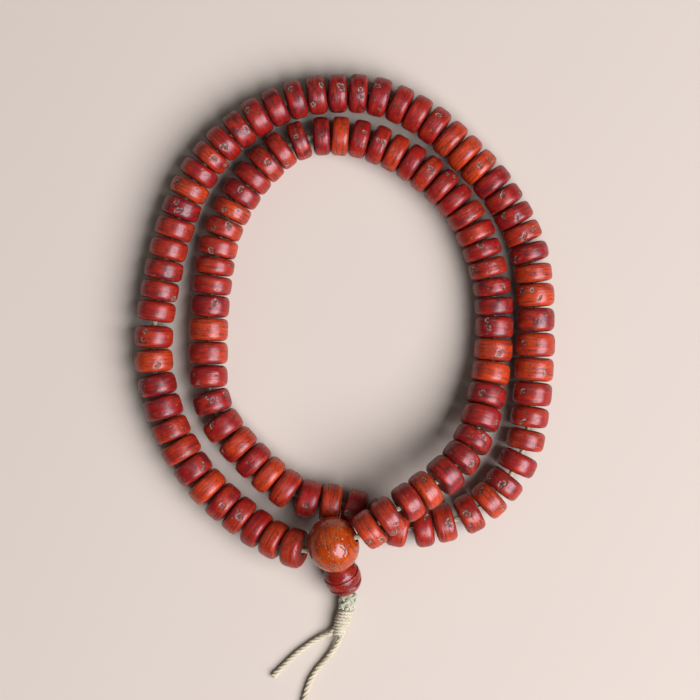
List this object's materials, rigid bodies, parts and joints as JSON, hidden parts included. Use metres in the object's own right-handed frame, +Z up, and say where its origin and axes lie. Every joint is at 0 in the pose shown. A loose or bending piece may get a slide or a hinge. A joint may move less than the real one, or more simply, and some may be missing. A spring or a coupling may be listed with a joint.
{
  "type": "mala prayer beads",
  "caption": "Looped strand of drilled seed beads on one waxed cord, closed by a three-hole guru bead with a tower bead, a whipped knot and two loose cord ends.",
  "frame": {"origin": "on the surface it lies on, under the middle of the beads and the knot, without the two loose cord ends", "axes": "+Z up from the surface, +Y from the pendant to the far side of the loop, +X to the right seen from above"},
  "size_m": [0.1053, 0.1633, 0.0202],
  "materials": {
    "bead_seed": "polished red-brown seed with pits, scars and darker flecks, waxy semi-gloss",
    "guru_seed": "polished orange-brown seed with pits and cracks, waxy semi-gloss",
    "tower_seed": "polished deep red seed, turned, semi-gloss",
    "cord": "twisted waxed cotton, cream, slightly worn",
    "knot_thread": "braided waxed cotton, grey-green from handling",
    "whipping_thread": "tight wraps of twisted cotton, cream"
  },
  "bodies": {
    "strand": {"stringing_cord": "cord", "beads_049_to_063": "bead_seed", "beads_064_to_078": "bead_seed", "beads_079_to_093": "bead_seed", "beads_094_to_108": "bead_seed"},
    "bead_001": {"bead_001": "bead_seed"},
    "bead_002": {"bead_002": "bead_seed"},
    "bead_003": {"bead_003": "bead_seed"},
    "bead_004": {"bead_004": "bead_seed"},
    "bead_005": {"bead_005": "bead_seed"},
    "bead_006": {"bead_006": "bead_seed"},
    "bead_007": {"bead_007": "bead_seed"},
    "bead_008": {"bead_008": "bead_seed"},
    "bead_009": {"bead_009": "bead_seed"},
    "bead_010": {"bead_010": "bead_seed"},
    "bead_011": {"bead_011": "bead_seed"},
    "bead_012": {"bead_012": "bead_seed"},
    "bead_013": {"bead_013": "bead_seed"},
    "bead_014": {"bead_014": "bead_seed"},
    "bead_015": {"bead_015": "bead_seed"},
    "bead_016": {"bead_016": "bead_seed"},
    "bead_017": {"bead_017": "bead_seed"},
    "bead_018": {"bead_018": "bead_seed"},
    "bead_019": {"bead_019": "bead_seed"},
    "bead_020": {"bead_020": "bead_seed"},
    "bead_021": {"bead_021": "bead_seed"},
    "bead_022": {"bead_022": "bead_seed"},
    "bead_023": {"bead_023": "bead_seed"},
    "bead_024": {"bead_024": "bead_seed"},
    "bead_025": {"bead_025": "bead_seed"},
    "bead_026": {"bead_026": "bead_seed"},
    "bead_027": {"bead_027": "bead_seed"},
    "bead_028": {"bead_028": "bead_seed"},
    "bead_029": {"bead_029": "bead_seed"},
    "bead_030": {"bead_030": "bead_seed"},
    "bead_031": {"bead_031": "bead_seed"},
    "bead_032": {"bead_032": "bead_seed"},
    "bead_033": {"bead_033": "bead_seed"},
    "bead_034": {"bead_034": "bead_seed"},
    "bead_035": {"bead_035": "bead_seed"},
    "bead_036": {"bead_036": "bead_seed"},
    "bead_037": {"bead_037": "bead_seed"},
    "bead_038": {"bead_038": "bead_seed"},
    "bead_039": {"bead_039": "bead_seed"},
    "bead_040": {"bead_040": "bead_seed"},
    "bead_041": {"bead_041": "bead_seed"},
    "bead_042": {"bead_042": "bead_seed"},
    "bead_043": {"bead_043": "bead_seed"},
    "bead_044": {"bead_044": "bead_seed"},
    "bead_045": {"bead_045": "bead_seed"},
    "bead_046": {"bead_046": "bead_seed"},
    "bead_047": {"bead_047": "bead_seed"},
    "bead_048": {"bead_048": "bead_seed"},
    "guru": {"guru_bead": "guru_seed", "guru_cord_legs": "cord"},
    "pendant": {"knot_collar": "knot_thread", "knot_whipping": "whipping_thread", "tail_cord_left": "cord", "tail_cord_right": "cord"},
    "tower": {"tower_bead": "tower_seed"}
  },
  "joints": [
    {"name": "guru_roll", "type": "hinge", "parent": "strand", "child": "guru", "pos_m": [-0.0026, -0.04635, 0.0122], "axis": [-0.8992, -0.2922, -0.3256], "range_deg": [0, 100]},
    {"name": "pendant_swing", "type": "hinge", "parent": "guru", "child": "pendant", "pos_m": [-0.00177, -0.0512, 0.00758], "axis": [0, 0, 1], "range_deg": [-12, 12]},
    {"name": "tower_bead_spin", "type": "hinge", "parent": "pendant", "child": "tower", "pos_m": [-0.00035, -0.0551, 0.00475], "axis": [0.3039, -0.7816, -0.5447], "continuous": true},
    {"name": "bead_001_spin", "type": "hinge", "parent": "strand", "child": "bead_001", "pos_m": [-0.01225, -0.04758, 0.00863], "axis": [-0.9106, 0.2239, -0.3473], "continuous": true},
    {"name": "bead_002_spin", "type": "hinge", "parent": "strand", "child": "bead_002", "pos_m": [-0.01736, -0.04566, 0.0068], "axis": [-0.8504, 0.4453, -0.2801], "continuous": true},
    {"name": "bead_003_spin", "type": "hinge", "parent": "strand", "child": "bead_003", "pos_m": [-0.02184, -0.04296, 0.00553], "axis": [-0.8187, 0.5468, -0.1754], "continuous": true},
    {"name": "bead_004_spin", "type": "hinge", "parent": "strand", "child": "bead_004", "pos_m": [-0.02622, -0.03971, 0.00502], "axis": [-0.7771, 0.629, -0.0192], "continuous": true},
    {"name": "bead_005_spin", "type": "hinge", "parent": "strand", "child": "bead_005", "pos_m": [-0.03022, -0.03638, 0.005], "axis": [-0.7555, 0.6552, 0], "continuous": true},
    {"name": "bead_006_spin", "type": "hinge", "parent": "strand", "child": "bead_006", "pos_m": [-0.03417, -0.03253, 0.005], "axis": [-0.6729, 0.7397, 0], "continuous": true},
    {"name": "bead_007_spin", "type": "hinge", "parent": "strand", "child": "bead_007", "pos_m": [-0.03773, -0.02807, 0.005], "axis": [-0.571, 0.821, 0], "continuous": true},
    {"name": "bead_008_spin", "type": "hinge", "parent": "strand", "child": "bead_008", "pos_m": [-0.04072, -0.02332, 0.005], "axis": [-0.4947, 0.8691, 0], "continuous": true},
    {"name": "bead_009_spin", "type": "hinge", "parent": "strand", "child": "bead_009", "pos_m": [-0.04321, -0.0183, 0.005], "axis": [-0.3927, 0.9197, 0], "continuous": true},
    {"name": "bead_010_spin", "type": "hinge", "parent": "strand", "child": "bead_010", "pos_m": [-0.04518, -0.0128, 0.005], "axis": [-0.2887, 0.9574, 0], "continuous": true},
    {"name": "bead_011_spin", "type": "hinge", "parent": "strand", "child": "bead_011", "pos_m": [-0.04669, -0.00714, 0.005], "axis": [-0.2184, 0.9759, 0], "continuous": true},
    {"name": "bead_012_spin", "type": "hinge", "parent": "strand", "child": "bead_012", "pos_m": [-0.04755, -0.0011, 0.005], "axis": [-0.061, 0.9981, 0], "continuous": true},
    {"name": "bead_013_spin", "type": "hinge", "parent": "strand", "child": "bead_013", "pos_m": [-0.04755, 0.00491, 0.005], "axis": [0.0486, 0.9988, 0], "continuous": true},
    {"name": "bead_014_spin", "type": "hinge", "parent": "strand", "child": "bead_014", "pos_m": [-0.04696, 0.01132, 0.005], "axis": [0.1393, 0.9902, 0], "continuous": true},
    {"name": "bead_015_spin", "type": "hinge", "parent": "strand", "child": "bead_015", "pos_m": [-0.04608, 0.01652, 0.005], "axis": [0.1855, 0.9826, 0], "continuous": true},
    {"name": "bead_016_spin", "type": "hinge", "parent": "strand", "child": "bead_016", "pos_m": [-0.04507, 0.02163, 0.005], "axis": [0.2058, 0.9786, 0], "continuous": true},
    {"name": "bead_017_spin", "type": "hinge", "parent": "strand", "child": "bead_017", "pos_m": [-0.04385, 0.0268, 0.005], "axis": [0.2543, 0.9671, 0], "continuous": true},
    {"name": "bead_018_spin", "type": "hinge", "parent": "strand", "child": "bead_018", "pos_m": [-0.04235, 0.03197, 0.005], "axis": [0.3029, 0.953, 0], "continuous": true},
    {"name": "bead_019_spin", "type": "hinge", "parent": "strand", "child": "bead_019", "pos_m": [-0.04065, 0.03694, 0.005], "axis": [0.3449, 0.9386, 0], "continuous": true},
    {"name": "bead_020_spin", "type": "hinge", "parent": "strand", "child": "bead_020", "pos_m": [-0.03865, 0.04165, 0.005], "axis": [0.4458, 0.8951, 0], "continuous": true},
    {"name": "bead_021_spin", "type": "hinge", "parent": "strand", "child": "bead_021", "pos_m": [-0.03621, 0.04588, 0.005], "axis": [0.5515, 0.8342, 0], "continuous": true},
    {"name": "bead_022_spin", "type": "hinge", "parent": "strand", "child": "bead_022", "pos_m": [-0.03335, 0.04971, 0.005], "axis": [0.6426, 0.7662, 0], "continuous": true},
    {"name": "bead_023_spin", "type": "hinge", "parent": "strand", "child": "bead_023", "pos_m": [-0.03008, 0.0533, 0.005], "axis": [0.7028, 0.7114, 0], "continuous": true},
    {"name": "bead_024_spin", "type": "hinge", "parent": "strand", "child": "bead_024", "pos_m": [-0.02617, 0.05679, 0.005], "axis": [0.7864, 0.6177, 0], "continuous": true},
    {"name": "bead_025_spin", "type": "hinge", "parent": "strand", "child": "bead_025", "pos_m": [-0.02177, 0.05981, 0.005], "axis": [0.8589, 0.5122, 0], "continuous": true},
    {"name": "bead_026_spin", "type": "hinge", "parent": "strand", "child": "bead_026", "pos_m": [-0.01713, 0.06228, 0.005], "axis": [0.904, 0.4275, 0], "continuous": true},
    {"name": "bead_027_spin", "type": "hinge", "parent": "strand", "child": "bead_027", "pos_m": [-0.01205, 0.06424, 0.005], "axis": [0.9581, 0.2863, 0], "continuous": true},
    {"name": "bead_028_spin", "type": "hinge", "parent": "strand", "child": "bead_028", "pos_m": [-0.00681, 0.06537, 0.005], "axis": [0.9911, 0.1331, 0], "continuous": true},
    {"name": "bead_029_spin", "type": "hinge", "parent": "strand", "child": "bead_029", "pos_m": [-0.00159, 0.06574, 0.005], "axis": [0.9996, 0.0287, 0], "continuous": true},
    {"name": "bead_030_spin", "type": "hinge", "parent": "strand", "child": "bead_030", "pos_m": [0.00354, 0.06568, 0.005], "axis": [0.9972, -0.0748, 0], "continuous": true},
    {"name": "bead_031_spin", "type": "hinge", "parent": "strand", "child": "bead_031", "pos_m": [0.00884, 0.06477, 0.005], "axis": [0.9654, -0.2608, 0], "continuous": true},
    {"name": "bead_032_spin", "type": "hinge", "parent": "strand", "child": "bead_032", "pos_m": [0.01389, 0.0629, 0.005], "axis": [0.9037, -0.4281, 0], "continuous": true},
    {"name": "bead_033_spin", "type": "hinge", "parent": "strand", "child": "bead_033", "pos_m": [0.01829, 0.06056, 0.005], "axis": [0.8609, -0.5087, 0], "continuous": true},
    {"name": "bead_034_spin", "type": "hinge", "parent": "strand", "child": "bead_034", "pos_m": [0.02259, 0.05769, 0.005], "axis": [0.8003, -0.5995, 0], "continuous": true},
    {"name": "bead_035_spin", "type": "hinge", "parent": "strand", "child": "bead_035", "pos_m": [0.02655, 0.05437, 0.005], "axis": [0.7312, -0.6821, 0], "continuous": true},
    {"name": "bead_036_spin", "type": "hinge", "parent": "strand", "child": "bead_036", "pos_m": [0.03015, 0.05085, 0.005], "axis": [0.7071, -0.7071, 0], "continuous": true},
    {"name": "bead_037_spin", "type": "hinge", "parent": "strand", "child": "bead_037", "pos_m": [0.03365, 0.0473, 0.005], "axis": [0.688, -0.7257, 0], "continuous": true},
    {"name": "bead_038_spin", "type": "hinge", "parent": "strand", "child": "bead_038", "pos_m": [0.03693, 0.04351, 0.005], "axis": [0.6201, -0.7845, 0], "continuous": true},
    {"name": "bead_039_spin", "type": "hinge", "parent": "strand", "child": "bead_039", "pos_m": [0.03988, 0.0394, 0.005], "axis": [0.5447, -0.8386, 0], "continuous": true},
    {"name": "bead_040_spin", "type": "hinge", "parent": "strand", "child": "bead_040", "pos_m": [0.0424, 0.03513, 0.005], "axis": [0.4759, -0.8795, 0], "continuous": true},
    {"name": "bead_041_spin", "type": "hinge", "parent": "strand", "child": "bead_041", "pos_m": [0.04455, 0.03072, 0.005], "axis": [0.3909, -0.9205, 0], "continuous": true},
    {"name": "bead_042_spin", "type": "hinge", "parent": "strand", "child": "bead_042", "pos_m": [0.04624, 0.02584, 0.005], "axis": [0.262, -0.9651, 0], "continuous": true},
    {"name": "bead_043_spin", "type": "hinge", "parent": "strand", "child": "bead_043", "pos_m": [0.04725, 0.02079, 0.005], "axis": [0.1289, -0.9917, 0], "continuous": true},
    {"name": "bead_044_spin", "type": "hinge", "parent": "strand", "child": "bead_044", "pos_m": [0.04771, 0.01532, 0.005], "axis": [0.0547, -0.9985, 0], "continuous": true},
    {"name": "bead_045_spin", "type": "hinge", "parent": "strand", "child": "bead_045", "pos_m": [0.04791, 0.00916, 0.005], "axis": [0.0111, -0.9999, 0], "continuous": true},
    {"name": "bead_046_spin", "type": "hinge", "parent": "strand", "child": "bead_046", "pos_m": [0.04784, 0.00294, 0.005], "axis": [-0.0355, -0.9994, 0], "continuous": true},
    {"name": "bead_047_spin", "type": "hinge", "parent": "strand", "child": "bead_047", "pos_m": [0.04753, -0.00322, 0.005], "axis": [-0.0604, -0.9982, 0], "continuous": true},
    {"name": "bead_048_spin", "type": "hinge", "parent": "strand", "child": "bead_048", "pos_m": [0.04708, -0.00932, 0.005], "axis": [-0.0928, -0.9957, 0], "continuous": true}
  ]
}
